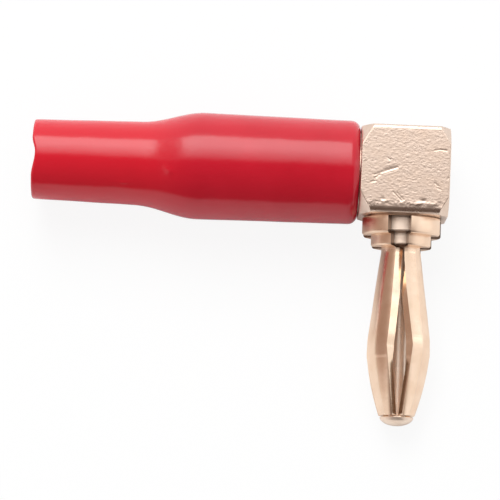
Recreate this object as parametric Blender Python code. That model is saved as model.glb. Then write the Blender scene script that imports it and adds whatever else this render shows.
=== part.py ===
"""A right-angle 4 mm banana plug, lying on its side.

A square brass bar is turned down to a shank at one end, and a slotted spring contact is pressed
into its side. A soft sleeve slides over the shank and the solder joint. Units are metres.

The plug is modelled upright in its own frame and then laid down by one parent empty:
+Z points up from the flat of the plug, the sleeve runs along -X and the contact along -Y.
"""

import math

import bmesh
import bpy

# Square bar and the shank turned on it
BAR_SIDE = 0.0080
BAR_EDGE_ROUND = 0.0004
BLOCK_LENGTH = 0.0080
SHANK_LENGTH = 0.0100
SHANK_END_CHAMFER = 0.0004
INNER_CHAMFER_RADIUS = 0.00445
OUTER_CHAMFER_RADIUS = 0.0046
SOLDER_CUP_RADIUS = 0.00175
SOLDER_CUP_DEPTH = 0.0060
DRILL_POINT_ANGLE = math.radians(118)

# Soft sleeve
BOOT_LENGTH = 0.0294
BOOT_BORE_RADIUS = 0.00375
BOOT_END_RADIUS = 0.00466
BOOT_END_ROUND = 0.0008
BOOT_SHOULDER_RADIUS = 0.00481
BOOT_SHOULDER_START = 0.0142
BOOT_SHOULDER_LENGTH = 0.0059
BOOT_NECK_RADIUS = 0.00377
BOOT_NECK_BORE_RADIUS = 0.00295
BOOT_RIM_RADIUS = 0.00359
BOOT_RIM_ROUND = 0.0002
BOOT_RIM_NOTCH = 0.0003
BOOT_NOTCH_HALF_WIDTH = math.radians(32)
BOOT_NOTCH_TURN = math.radians(3)
BOOT_CLEARANCE = 0.00012

# Spring contact: the collars, measured from the underside of the block
CONTACT_TILT = math.radians(0.6)
LARGE_COLLAR_RADIUS = 0.00364
LARGE_COLLAR_HEIGHT = 0.0016
LARGE_COLLAR_ROUND = 0.00025
SMALL_COLLAR_RADIUS = 0.0028
SMALL_COLLAR_HEIGHT = 0.001
SMALL_COLLAR_ROUND = 0.0002
COLLAR_WALL = 0.0009
COLLAR_STEP_LEAD = 0.00025
TAIL_WALL = 0.0005
TAIL_DEPTH = 0.0025

# Spring contact: the four bowed leaves
LEAF_COUNT = 4
LEAF_WALL = 0.00045
ROOT_RADIUS = 0.0018
ROOT_LENGTH = 0.0005
BELLY_RADIUS = 0.00305
CONE_LENGTH = 0.0084
OGIVE_LENGTH = 0.00622
OGIVE_START_SLOPE = 0.09
LEAF_END_RADIUS = 0.00166
COLLAR_SLOT_HALF_ANGLE = math.radians(16.5)
COLLAR_SLOT_TURN = math.radians(5.5)
BELLY_SLOT_HALF_WIDTH = 0.00117
END_SLOT_HALF_WIDTH = 0.00047
INNER_SLOT_LEAST_HALF_WIDTH = 0.0001
FLANK_ANGLE = math.radians(52)

# Core pin
STEM_RADIUS = 0.00075
STEP_CHAMFER = 0.0001
NOSE_RADIUS = 0.00152
NOSE_HEIGHT = 0.0008
NOSE_GAP = 0.0001
SPIGOT_RADIUS = 0.0019
SPIGOT_LENGTH = 0.0028

# Fits and facets
PRESS_CLEARANCE = 0.00006
SEAT_GAP = 0.00006
COLLAR_GAP = 0.00008
TURNED_SEGMENTS = 48
BOOT_SEGMENTS = 56
CORE_SEGMENTS = 32
LEAF_CELLS = 6
SLOT_CELLS = 2
SHARP_ANGLE = math.radians(35)

# Worked out from the sizes above
SHANK_RADIUS = BOOT_BORE_RADIUS - BOOT_CLEARANCE
LARGE_BORE_RADIUS = LARGE_COLLAR_RADIUS - COLLAR_WALL
SMALL_BORE_RADIUS = SMALL_COLLAR_RADIUS - COLLAR_WALL
TAIL_RADIUS = LARGE_BORE_RADIUS + TAIL_WALL
LARGE_COLLAR_END = COLLAR_GAP + LARGE_COLLAR_HEIGHT
COLLARS_END = LARGE_COLLAR_END + SMALL_COLLAR_HEIGHT
CONE_START = COLLARS_END + ROOT_LENGTH
BELLY = CONE_START + CONE_LENGTH
LEAF_END = BELLY + OGIVE_LENGTH


def material(name, color, metallic, roughness):
    made = bpy.data.materials.new(name)
    made.use_nodes = True
    shader = made.node_tree.nodes["Principled BSDF"]
    shader.inputs["Base Color"].default_value = (*color, 1.0)
    shader.inputs["Metallic"].default_value = metallic
    shader.inputs["Roughness"].default_value = roughness
    made.diffuse_color = (*color, 1.0)
    return made


def empty(name, parent=None, location=(0, 0, 0), rotation=(0, 0, 0)):
    made = bpy.data.objects.new(name, None)
    bpy.context.collection.objects.link(made)
    made.parent = parent
    made.location = location
    made.rotation_euler = rotation
    return made


def solid(name, bm, finish=None, parent=None, rotation=(0, 0, 0)):
    """An object from a bmesh, with its normals facing out and its round faces shaded smooth."""
    bmesh.ops.remove_doubles(bm, verts=bm.verts, dist=1e-8)
    bmesh.ops.recalc_face_normals(bm, faces=bm.faces)
    mesh = bpy.data.meshes.new(name)
    bm.to_mesh(mesh)
    bm.free()
    mesh.shade_smooth()
    mesh.set_sharp_from_angle(angle=SHARP_ANGLE)
    made = bpy.data.objects.new(name, mesh)
    bpy.context.collection.objects.link(made)
    made.parent = parent
    made.rotation_euler = rotation
    if finish:
        mesh.materials.append(finish)
    return made


def helper(made):
    """Marks a cutter, which is not a piece of the plug."""
    made.hide_render = True
    made.display_type = "WIRE"
    return made


def cut(target, tool, operation):
    modifier = target.modifiers.new(tool.name, "BOOLEAN")
    modifier.operation = operation
    modifier.object = tool
    modifier.solver = "EXACT"


def turned(profile, segments, ring=False):
    """A bmesh turned about local Z from (z, radius) points. A ring's profile is a closed loop."""
    bm = bmesh.new()
    points = [bm.verts.new((radius, 0, z)) for z, radius in profile]
    pairs = list(zip(points, points[1:]))
    if ring:
        pairs.append((points[-1], points[0]))
    edges = [bm.edges.new(pair) for pair in pairs]
    bmesh.ops.spin(
        bm,
        geom=points + edges,
        cent=(0, 0, 0),
        axis=(0, 0, 1),
        angle=math.tau,
        steps=segments,
        use_merge=True,
    )
    return bm


def arc(center, radius, start, end, steps):
    """Points (z, radius) along an arc whose angles are measured from +Z towards the radius."""
    angles = [start + (end - start) * i / steps for i in range(steps + 1)]
    return [
        (center[0] + radius * math.cos(a), center[1] + radius * math.sin(a))
        for a in angles
    ]


def smooth_step(t):
    return 0.5 - 0.5 * math.cos(math.pi * t)


def boot_outer(steps=10):
    """Outer line of the sleeve, from its end at the block to just before the rim's rounding."""
    round_center = (SEAT_GAP + BOOT_END_ROUND, BOOT_END_RADIUS - BOOT_END_ROUND)
    line = arc(round_center, BOOT_END_ROUND, math.pi, math.pi / 2, 4)
    fall = BOOT_SHOULDER_RADIUS - BOOT_NECK_RADIUS
    for i in range(steps + 1):
        z = BOOT_SHOULDER_START + BOOT_SHOULDER_LENGTH * i / steps
        line.append((z, BOOT_SHOULDER_RADIUS - fall * smooth_step(i / steps)))
    return line


def boot_inner(steps=6):
    """Bore of the sleeve, from the rim back to the block."""
    line = []
    fall = BOOT_BORE_RADIUS - BOOT_NECK_BORE_RADIUS
    for i in range(steps, -1, -1):
        z = BOOT_SHOULDER_START + BOOT_SHOULDER_LENGTH * i / steps
        line.append((z, BOOT_BORE_RADIUS - fall * smooth_step(i / steps)))
    return line + [(SEAT_GAP, BOOT_BORE_RADIUS)]


def notch_depth(angle):
    """How far the rim is cut back at an angle round the sleeve: one notch above, one below."""
    offset = (angle - BOOT_NOTCH_TURN + math.pi / 2) % math.pi - math.pi / 2
    if abs(offset) >= BOOT_NOTCH_HALF_WIDTH:
        return 0.0
    return BOOT_RIM_NOTCH * smooth_step(1 - abs(offset) / BOOT_NOTCH_HALF_WIDTH)


def make_boot(parent, finish):
    rim_outer = (BOOT_LENGTH - BOOT_RIM_ROUND, BOOT_RIM_RADIUS - BOOT_RIM_ROUND)
    rim_inner = (BOOT_LENGTH - BOOT_RIM_ROUND, BOOT_NECK_BORE_RADIUS + BOOT_RIM_ROUND)
    profile = boot_outer()
    profile += arc(rim_outer, BOOT_RIM_ROUND, math.pi / 2, 0, 2)
    profile += arc(rim_inner, BOOT_RIM_ROUND, 0, -math.pi / 2, 2)
    profile += boot_inner()
    bm = turned(profile, BOOT_SEGMENTS, ring=True)
    neck_start = BOOT_SHOULDER_START + BOOT_SHOULDER_LENGTH
    neck_length = BOOT_LENGTH - neck_start
    for vert in bm.verts:
        share = (vert.co.z - neck_start) / neck_length
        if share > 0:
            vert.co.z -= notch_depth(math.atan2(vert.co.y, vert.co.x)) * share
    return solid("boot", bm, finish, parent)


def rounded_bar():
    """The square bar with rounded long edges, along local Z, longer than the turned outline."""
    bm = bmesh.new()
    bmesh.ops.create_cube(bm, size=1)
    reach = BLOCK_LENGTH + 2 * SHANK_LENGTH
    for vert in bm.verts:
        vert.co.x *= BAR_SIDE
        vert.co.y *= BAR_SIDE
        vert.co.z *= 2 * reach
    long_edges = [e for e in bm.edges if abs(e.verts[0].co.z - e.verts[1].co.z) > reach]
    bmesh.ops.bevel(
        bm,
        geom=long_edges,
        offset=BAR_EDGE_ROUND,
        segments=3,
        profile=0.5,
        affect="EDGES",
    )
    return bm


def turned_outline():
    """What the lathe leaves of the bar: chamfer, square stretch, chamfer, shank and its end."""
    half = BLOCK_LENGTH / 2
    clear = BAR_SIDE
    return [
        (-half, 0),
        (-half, OUTER_CHAMFER_RADIUS),
        (-half + clear - OUTER_CHAMFER_RADIUS, clear),
        (half - clear + INNER_CHAMFER_RADIUS, clear),
        (half, INNER_CHAMFER_RADIUS),
        (half, SHANK_RADIUS),
        (half + SHANK_LENGTH - SHANK_END_CHAMFER, SHANK_RADIUS),
        (half + SHANK_LENGTH, SHANK_RADIUS - SHANK_END_CHAMFER),
        (half + SHANK_LENGTH, 0),
    ]


def solder_cup_outline():
    mouth = BLOCK_LENGTH / 2 + SHANK_LENGTH
    floor = mouth - SOLDER_CUP_DEPTH
    point = SOLDER_CUP_RADIUS / math.tan(DRILL_POINT_ANGLE / 2)
    beyond = mouth + SOLDER_CUP_DEPTH
    return [(floor - point, 0), (floor, SOLDER_CUP_RADIUS), (beyond, SOLDER_CUP_RADIUS), (beyond, 0)]


def contact_seat_outline():
    """The stepped bore in the block's underside: the sleeve's tail, then the core's spigot."""
    tail = TAIL_RADIUS + PRESS_CLEARANCE
    spigot = SPIGOT_RADIUS + PRESS_CLEARANCE
    step = -TAIL_DEPTH - SEAT_GAP
    end = step - SPIGOT_LENGTH
    outside = LARGE_COLLAR_HEIGHT
    return [(end, 0), (end, spigot), (step, spigot), (step, tail), (outside, tail), (outside, 0)]


def make_block(parent, contact, finish):
    """The bar is cut to the lathe's outline, then drilled for the wire and for the contact."""
    block = solid("elbow_block", rounded_bar(), finish, parent)
    outline = helper(solid("turned_outline", turned(turned_outline(), TURNED_SEGMENTS), parent=parent))
    cup = helper(solid("solder_cup", turned(solder_cup_outline(), TURNED_SEGMENTS), parent=parent))
    seat = helper(solid("contact_seat", turned(contact_seat_outline(), TURNED_SEGMENTS), parent=contact))
    cut(block, outline, "INTERSECT")
    cut(block, cup, "DIFFERENCE")
    cut(block, seat, "DIFFERENCE")
    return block


def station(outer, inner, outer_half_angle=None, inner_half_angle=None):
    """One cross-section of the sleeve: (z, radius) outside and inside, and the slot's half angles."""
    wedge = COLLAR_SLOT_HALF_ANGLE
    return outer, inner, outer_half_angle or wedge, inner_half_angle or wedge


def collar_stations():
    """The tail and the two collars, whose slots are plain wedges."""
    rounding = arc(
        (LARGE_COLLAR_END - LARGE_COLLAR_ROUND, LARGE_COLLAR_RADIUS - LARGE_COLLAR_ROUND),
        LARGE_COLLAR_ROUND,
        math.pi / 2,
        0,
        3,
    )
    small_rounding = arc(
        (COLLARS_END - SMALL_COLLAR_ROUND, SMALL_COLLAR_RADIUS - SMALL_COLLAR_ROUND),
        SMALL_COLLAR_ROUND,
        math.pi / 2,
        0,
        3,
    )
    first_step = LARGE_COLLAR_END - COLLAR_STEP_LEAD
    second_step = COLLARS_END - COLLAR_STEP_LEAD / 2
    made = [
        station((-TAIL_DEPTH, TAIL_RADIUS), (-TAIL_DEPTH, LARGE_BORE_RADIUS)),
        station((COLLAR_GAP, TAIL_RADIUS), (COLLAR_GAP, LARGE_BORE_RADIUS)),
    ]
    outer = [(COLLAR_GAP, LARGE_COLLAR_RADIUS)] + rounding
    for i, point in enumerate(outer):
        share = (i + 1) / len(outer)
        depth = COLLAR_GAP + (first_step - COLLAR_GAP) * share
        made.append(station(point, (depth, LARGE_BORE_RADIUS)))
    made.append(station((LARGE_COLLAR_END, SMALL_COLLAR_RADIUS), (first_step, SMALL_BORE_RADIUS)))
    for i, point in enumerate(small_rounding):
        share = (i + 1) / len(small_rounding)
        depth = first_step + (second_step - first_step) * share
        made.append(station(point, (depth, SMALL_BORE_RADIUS)))
    root = ROOT_RADIUS - LEAF_WALL
    made.append(station((COLLARS_END, ROOT_RADIUS), (second_step, root)))
    return made


def leaf_radius(z):
    """Outside of the leaves: a short straight root, a cone out to the belly, a curve back in."""
    if z <= CONE_START:
        return ROOT_RADIUS
    if z <= BELLY:
        return ROOT_RADIUS + (BELLY_RADIUS - ROOT_RADIUS) * (z - CONE_START) / CONE_LENGTH
    s = z - BELLY
    total_fall = BELLY_RADIUS - LEAF_END_RADIUS
    bend = (total_fall - OGIVE_START_SLOPE * OGIVE_LENGTH) / OGIVE_LENGTH**2
    return BELLY_RADIUS - OGIVE_START_SLOPE * s - bend * s * s


def slot_half_width(z):
    """Half the gap between two leaves at their outer edges, widest at the belly."""
    root = ROOT_RADIUS * math.sin(COLLAR_SLOT_HALF_ANGLE)
    if z <= BELLY:
        share = max(0.0, z - CONE_START) / CONE_LENGTH
        return root + (BELLY_SLOT_HALF_WIDTH - root) * share
    share = (z - BELLY) / OGIVE_LENGTH
    return BELLY_SLOT_HALF_WIDTH + (END_SLOT_HALF_WIDTH - BELLY_SLOT_HALF_WIDTH) * share


def slot_turn(z):
    """How far the slots are turned about the axis: fully in the collars, not at all from the belly."""
    share = (z - COLLARS_END) / (BELLY - COLLARS_END)
    return COLLAR_SLOT_TURN * (1 - smooth_step(min(max(share, 0.0), 1.0)))


def leaf_stations():
    """Each leaf is wider inside than outside, because its flanks slope in under the slot."""
    depths = [COLLARS_END + ROOT_LENGTH * share for share in (0.5, 1.0)]
    depths += [CONE_START + CONE_LENGTH * i / 4 for i in range(1, 5)]
    depths += [BELLY + OGIVE_LENGTH * i / 6 for i in range(1, 7)]
    made = []
    for z in depths:
        outside = leaf_radius(z)
        inside = outside - LEAF_WALL
        gap = slot_half_width(z)
        inner_gap = max(gap - LEAF_WALL * math.tan(FLANK_ANGLE), INNER_SLOT_LEAST_HALF_WIDTH)
        made.append(
            station(
                (z, outside),
                (z, inside),
                math.asin(gap / outside),
                math.asin(inner_gap / inside),
            )
        )
    return made


def column_angles(half_angle, turn):
    """Angles round the sleeve: for each slot its cells, then the cells of the leaf after it."""
    pitch = math.tau / LEAF_COUNT
    angles = []
    for leaf in range(LEAF_COUNT):
        center = math.pi / 2 + leaf * pitch + turn
        leaf_arc = pitch - 2 * half_angle
        angles += [center - half_angle + 2 * half_angle * i / SLOT_CELLS for i in range(SLOT_CELLS)]
        angles += [center + half_angle + leaf_arc * i / LEAF_CELLS for i in range(LEAF_CELLS)]
    return angles


def make_sleeve(parent, finish):
    """A grid of cells round and along the contact. The cells left out below the tail are the slots."""
    bm = bmesh.new()
    stations = collar_stations() + leaf_stations()
    columns = LEAF_COUNT * (SLOT_CELLS + LEAF_CELLS)

    def ring(point, half_angle):
        z, radius = point
        return [
            bm.verts.new((radius * math.cos(a), radius * math.sin(a), z))
            for a in column_angles(half_angle, slot_turn(z))
        ]

    outside = [ring(outer, half) for outer, _, half, _ in stations]
    inside = [ring(inner, half) for _, inner, _, half in stations]

    def filled(row, column):
        if row < 0 or row >= len(stations) - 1:
            return False
        return row == 0 or column % (SLOT_CELLS + LEAF_CELLS) >= SLOT_CELLS

    def wall(a, b, row_a, row_b):
        bm.faces.new((outside[row_a][a], outside[row_b][b], inside[row_b][b], inside[row_a][a]))

    for row in range(len(stations) - 1):
        for column in range(columns):
            if not filled(row, column):
                continue
            after = (column + 1) % columns
            for layer in (outside, inside):
                bm.faces.new(
                    (layer[row][column], layer[row][after], layer[row + 1][after], layer[row + 1][column])
                )
            if not filled(row, after):
                wall(after, after, row, row + 1)
            if not filled(row, (column - 1) % columns):
                wall(column, column, row, row + 1)
            if not filled(row - 1, column):
                wall(column, after, row, row)
            if not filled(row + 1, column):
                wall(column, after, row + 1, row + 1)
    unused = [vert for vert in bm.verts if not vert.link_faces]
    bmesh.ops.delete(bm, geom=unused, context="VERTS")
    return solid("spring_sleeve", bm, finish, parent)


def core_outline():
    """The core pin from its spigot in the block, down the two steps and the stem, to its nose."""
    large = LARGE_BORE_RADIUS - PRESS_CLEARANCE
    small = SMALL_BORE_RADIUS - PRESS_CLEARANCE
    first_step = LARGE_COLLAR_END - COLLAR_STEP_LEAD - SEAT_GAP
    second_step = COLLARS_END - COLLAR_STEP_LEAD / 2 - SEAT_GAP
    spigot_end = -TAIL_DEPTH - SPIGOT_LENGTH
    nose = LEAF_END + NOSE_GAP
    flat = NOSE_RADIUS / 8
    drop = math.sqrt(NOSE_RADIUS**2 - flat**2)
    outline = [
        (spigot_end, 0),
        (spigot_end, SPIGOT_RADIUS),
        (-TAIL_DEPTH, SPIGOT_RADIUS),
        (-TAIL_DEPTH, large),
        (first_step - STEP_CHAMFER, large),
        (first_step, large - STEP_CHAMFER),
        (first_step, small),
        (second_step - STEP_CHAMFER, small),
        (second_step, small - STEP_CHAMFER),
        (second_step, STEM_RADIUS),
        (nose, STEM_RADIUS),
        (nose, NOSE_RADIUS),
    ]
    steps = 5
    for i in range(1, steps):
        turn = math.pi / 2 * i / steps
        outline.append((nose + NOSE_HEIGHT * math.sin(turn), NOSE_RADIUS * math.cos(turn)))
    outline.append((nose + NOSE_HEIGHT, 0))
    return outline


def make_core(parent, finish):
    return solid("core_pin", turned(core_outline(), CORE_SEGMENTS), finish, parent)


def resting_turn():
    """How far the plug rolls about the sleeve's axis until the belly of the contact lies down."""
    reach = BAR_SIDE / 2 + BELLY
    belly_half_height = math.sqrt(BELLY_RADIUS**2 - BELLY_SLOT_HALF_WIDTH**2)
    return math.asin((BOOT_SHOULDER_RADIUS - belly_half_height) / reach)


def set_down(frame, pieces):
    """Moves the frame so that the pieces stand on Z = 0, centred over the origin."""
    bpy.context.view_layer.update()
    graph = bpy.context.evaluated_depsgraph_get()
    corners = []
    for piece in pieces:
        evaluated = piece.evaluated_get(graph)
        matrix = evaluated.matrix_world
        corners += [matrix @ vert.co for vert in evaluated.data.vertices]
    low = [min(corner[axis] for corner in corners) for axis in range(3)]
    high = [max(corner[axis] for corner in corners) for axis in range(3)]
    frame.location = (-(low[0] + high[0]) / 2, -(low[1] + high[1]) / 2, -low[2])
    bpy.context.view_layer.update()


def main():
    for old in list(bpy.data.objects):
        bpy.data.objects.remove(old, do_unlink=True)

    red = material("red_pvc", (0.56, 0.016, 0.028), 0.0, 0.28)
    bar_gold = material("tumbled_gold_plate", (0.86, 0.65, 0.47), 1.0, 0.34)
    contact_gold = material("bright_gold_plate", (0.90, 0.68, 0.46), 1.0, 0.2)
    core_gold = material("turned_gold_plate", (0.84, 0.63, 0.45), 1.0, 0.26)

    frame = empty("plug", rotation=(resting_turn(), 0, 0))
    turning_axis = empty("turning_axis", frame, rotation=(0, -math.pi / 2, 0))
    boot_axis = empty("boot_axis", turning_axis, location=(0, 0, BLOCK_LENGTH / 2))
    contact_turn = (math.pi / 2, 0, CONTACT_TILT)
    contact_axis = empty("contact_axis", frame, (0, -BAR_SIDE / 2, 0), contact_turn)

    pieces = [
        make_boot(boot_axis, red),
        make_block(turning_axis, contact_axis, bar_gold),
        make_sleeve(contact_axis, contact_gold),
        make_core(contact_axis, core_gold),
    ]
    set_down(frame, pieces)


main()
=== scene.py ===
"""The looks of a right-angle banana plug: finely meshed pieces in place of the plain solids.

Units are metres. Each piece is modelled in the local frame of the solid that it stands for, and its
vertices are then put in the shared frame. Materials use the local coordinates, kept as an attribute.
"""

import math

import bmesh
import bpy
from mathutils import Euler, Matrix, Vector, noise


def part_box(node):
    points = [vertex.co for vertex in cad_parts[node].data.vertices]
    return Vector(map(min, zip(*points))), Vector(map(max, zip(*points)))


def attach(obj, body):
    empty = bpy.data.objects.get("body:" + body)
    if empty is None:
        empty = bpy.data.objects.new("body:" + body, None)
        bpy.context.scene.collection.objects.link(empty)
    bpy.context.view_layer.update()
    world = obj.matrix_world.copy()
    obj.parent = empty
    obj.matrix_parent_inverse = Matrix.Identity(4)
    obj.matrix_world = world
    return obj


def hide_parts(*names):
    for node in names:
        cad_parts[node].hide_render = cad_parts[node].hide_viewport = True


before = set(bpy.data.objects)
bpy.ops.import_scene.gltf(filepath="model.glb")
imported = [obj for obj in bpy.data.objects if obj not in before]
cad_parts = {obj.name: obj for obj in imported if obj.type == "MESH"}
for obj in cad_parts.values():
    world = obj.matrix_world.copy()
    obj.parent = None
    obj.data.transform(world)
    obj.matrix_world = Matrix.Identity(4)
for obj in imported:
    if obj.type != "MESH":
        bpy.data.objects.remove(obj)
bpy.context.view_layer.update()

# Sizes of the solids, as in the source of the part
BAR_HALF = 0.0040
SHANK_LENGTH = 0.0100
SHANK_RADIUS = 0.00363
SHANK_END_CHAMFER = 0.0004
INNER_CHAMFER_RADIUS = 0.00445
OUTER_CHAMFER_RADIUS = 0.0046
SOLDER_CUP_RADIUS = 0.00175
SOLDER_CUP_DEPTH = 0.0060
DRILL_POINT_DEPTH = 0.00105
BOOT_LENGTH = 0.0294
BOOT_BORE_RADIUS = 0.00375
BOOT_END_RADIUS = 0.00466
BOOT_END_ROUND = 0.0008
BOOT_SHOULDER_RADIUS = 0.00481
BOOT_SHOULDER_START = 0.0142
BOOT_SHOULDER_LENGTH = 0.0059
BOOT_NECK_RADIUS = 0.00377
BOOT_NECK_BORE_RADIUS = 0.00295
BOOT_RIM_RADIUS = 0.00359
BOOT_RIM_ROUND = 0.0002
BOOT_RIM_NOTCH = 0.0003
BOOT_NOTCH_TURN = math.radians(3)
SEAT_GAP = 0.00006
CONTACT_TILT = math.radians(0.6)
COLLAR_GAP = 0.00008
LARGE_COLLAR_RADIUS = 0.00364
LARGE_COLLAR_HEIGHT = 0.0016
LARGE_COLLAR_ROUND = 0.00025
SMALL_COLLAR_RADIUS = 0.0028
SMALL_COLLAR_HEIGHT = 0.0010
SMALL_COLLAR_ROUND = 0.0002
COLLAR_WALL = 0.0009
COLLAR_STEP_LEAD = 0.00025
TAIL_WALL = 0.0005
TAIL_DEPTH = 0.0025
LEAF_COUNT = 4
LEAF_WALL = 0.00045
ROOT_RADIUS = 0.0018
ROOT_LENGTH = 0.0005
BELLY_RADIUS = 0.00305
CONE_LENGTH = 0.0084
OGIVE_LENGTH = 0.00622
OGIVE_START_SLOPE = 0.09
LEAF_END_RADIUS = 0.00166
COLLAR_SLOT_HALF_ANGLE = math.radians(16.5)
COLLAR_SLOT_TURN = math.radians(5.5)
BELLY_SLOT_HALF_WIDTH = 0.00117
END_SLOT_HALF_WIDTH = 0.00047
INNER_SLOT_LEAST_HALF_WIDTH = 0.0001
STEM_RADIUS = 0.00075
STEP_CHAMFER = 0.0001
NOSE_RADIUS = 0.00152
NOSE_HEIGHT = 0.0008
NOSE_GAP = 0.0001
SPIGOT_RADIUS = 0.0019
SPIGOT_LENGTH = 0.0028
PRESS_CLEARANCE = 0.00006

# Sizes of the slots that are only here. The solids have 52 degree flanks all along, and a gap that
# grows evenly from 0.51 mm each side of its middle at the root
ROOT_SLOT_HALF_WIDTH = 0.00040
SLOT_GROWTH = 1.3
ROOT_FLANK_ANGLE = math.radians(50)
FLANK_ANGLE = math.radians(54)
END_FLANK_ANGLE = math.radians(40)

# The slots' inner edges are also shifted to one side at the root, which fades out along the contact
ROOT_LEAN = 0.00038
ROOT_LEAN_FADE = 0.0035

# Worked out from the sizes above
LARGE_BORE_RADIUS = LARGE_COLLAR_RADIUS - COLLAR_WALL
SMALL_BORE_RADIUS = SMALL_COLLAR_RADIUS - COLLAR_WALL
TAIL_RADIUS = LARGE_BORE_RADIUS + TAIL_WALL
LARGE_COLLAR_END = COLLAR_GAP + LARGE_COLLAR_HEIGHT
COLLARS_END = LARGE_COLLAR_END + SMALL_COLLAR_HEIGHT
CONE_START = COLLARS_END + ROOT_LENGTH
BELLY = CONE_START + CONE_LENGTH
LEAF_END = BELLY + OGIVE_LENGTH

# Camera, fitted to the outline in the photo
CAMERA_ELEVATION = math.radians(76)
CAMERA_AZIMUTH = math.radians(-0.16)
CAMERA_ROLL = math.radians(2.63)
CAMERA_DISTANCE = 0.30
CAMERA_AIM = Vector((0.00116, 0.0013, 0.0047))
FIELD_WIDTH = 0.04485
SENSOR_WIDTH = 36.0
CLIP_START = 0.01


def resting_turn():
    """How far the plug tips nose down, onto the sleeve's shoulder and the contact's belly."""
    belly_half_height = math.sqrt(BELLY_RADIUS**2 - BELLY_SLOT_HALF_WIDTH**2)
    return math.asin((BOOT_SHOULDER_RADIUS - belly_half_height) / (BAR_HALF + BELLY))


def local_frames():
    """The frames of the bar, the sleeve and the contact, as in the source of the part."""
    block_low, block_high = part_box("elbow_block")
    boot_low, boot_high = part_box("boot")
    axis = [(boot_low[i] + boot_high[i]) / 2 for i in range(3)]
    centre = Vector((block_high[0] - BAR_HALF, axis[1], axis[2]))
    plug = Matrix.Translation(centre) @ Matrix.Rotation(resting_turn(), 4, "X")
    turning = plug @ Matrix.Rotation(-math.pi / 2, 4, "Y")
    boot = turning @ Matrix.Translation((0, 0, BAR_HALF))
    lean = Euler((math.pi / 2, 0, CONTACT_TILT)).to_matrix().to_4x4()
    contact = plug @ Matrix.Translation((0, -BAR_HALF, 0)) @ lean
    return turning, boot, contact


def smooth_step(t):
    t = min(max(t, 0.0), 1.0)
    return 0.5 - 0.5 * math.cos(math.pi * t)


def spread(start, end, count):
    """Evenly spaced numbers from start to end, both included."""
    return [start + (end - start) * i / (count - 1) for i in range(count)]


def arc(center, radius, start, end, steps):
    """Points (z, radius) along an arc whose angles are measured from +Z towards the radius."""
    return [
        (center[0] + radius * math.cos(a), center[1] + radius * math.sin(a))
        for a in spread(start, end, steps + 1)
    ]


SHARP_ANGLE = math.radians(40)
WELD_DISTANCE = 1e-7
LOCAL_PLACE = "local_place"


def piece(name, vertices, faces, matrix, body, node, slot, material, second=None, second_faces=()):
    """One visible piece that stands for one CAD node. Some of its faces may have a second material."""
    mesh = bpy.data.meshes.new(name)
    mesh.from_pydata(vertices, [], faces)
    for index in second_faces:
        mesh.polygons[index].material_index = 1
    bm = bmesh.new()
    bm.from_mesh(mesh)
    bmesh.ops.remove_doubles(bm, verts=bm.verts, dist=WELD_DISTANCE)
    bmesh.ops.recalc_face_normals(bm, faces=bm.faces)
    bm.to_mesh(mesh)
    bm.free()
    local = mesh.attributes.new(LOCAL_PLACE, "FLOAT_VECTOR", "POINT")
    local.data.foreach_set("vector", [value for vertex in mesh.vertices for value in vertex.co])
    mesh.transform(matrix)
    mesh.shade_smooth()
    mesh.set_sharp_from_angle(angle=SHARP_ANGLE)
    made = bpy.data.objects.new(name, mesh)
    bpy.context.collection.objects.link(made)
    mesh.materials.append(material)
    if second:
        mesh.materials.append(second)
    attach(made, body)
    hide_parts(node)
    return made


def grid_faces(rows, columns, closed_rows=False):
    """Quads between rows of vertices that close on themselves round the axis."""
    faces = []
    last = rows if closed_rows else rows - 1
    for row in range(last):
        below = (row + 1) % rows
        for column in range(columns):
            after = (column + 1) % columns
            faces.append(
                (
                    row * columns + column,
                    row * columns + after,
                    below * columns + after,
                    below * columns + column,
                )
            )
    return faces


def end_faces(rows, columns):
    """The two faces that close the first and the last row."""
    return [tuple(range(columns)), tuple(range((rows - 1) * columns, rows * columns))]


# Sleeve
BOOT_COLUMNS = 280
BOOT_ROWS = 220
BOOT_END_STEPS = 10
BOOT_RIM_STEPS = 5
BOOT_BORE_ROWS = 14
BOOT_SHOULDER_LEAN = 0.00022
BOOT_WAVE_DEPTH = 0.000018
BOOT_WAVES_ROUND = 1.6
BOOT_WAVES_ALONG = 420
NOTCH_STEEP_HALF_WIDTH = math.radians(26)
NOTCH_GENTLE_HALF_WIDTH = math.radians(38)
NOTCH_FADE_POWER = 3

# A mark or dent fades as a bell curve, and is left out past this square of its half widths
MARK_REACH = 9

# Marks on the sleeve: distance from the block, angle, half length, half width and height
BOOT_MARKS = (
    (0.01700, math.radians(-16), 0.00030, 0.00030, 0.000060),
    (0.01735, math.radians(-12), 0.00022, 0.00022, 0.000030),
    (0.02110, math.radians(-36), 0.00042, 0.00012, 0.000040),
)


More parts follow.
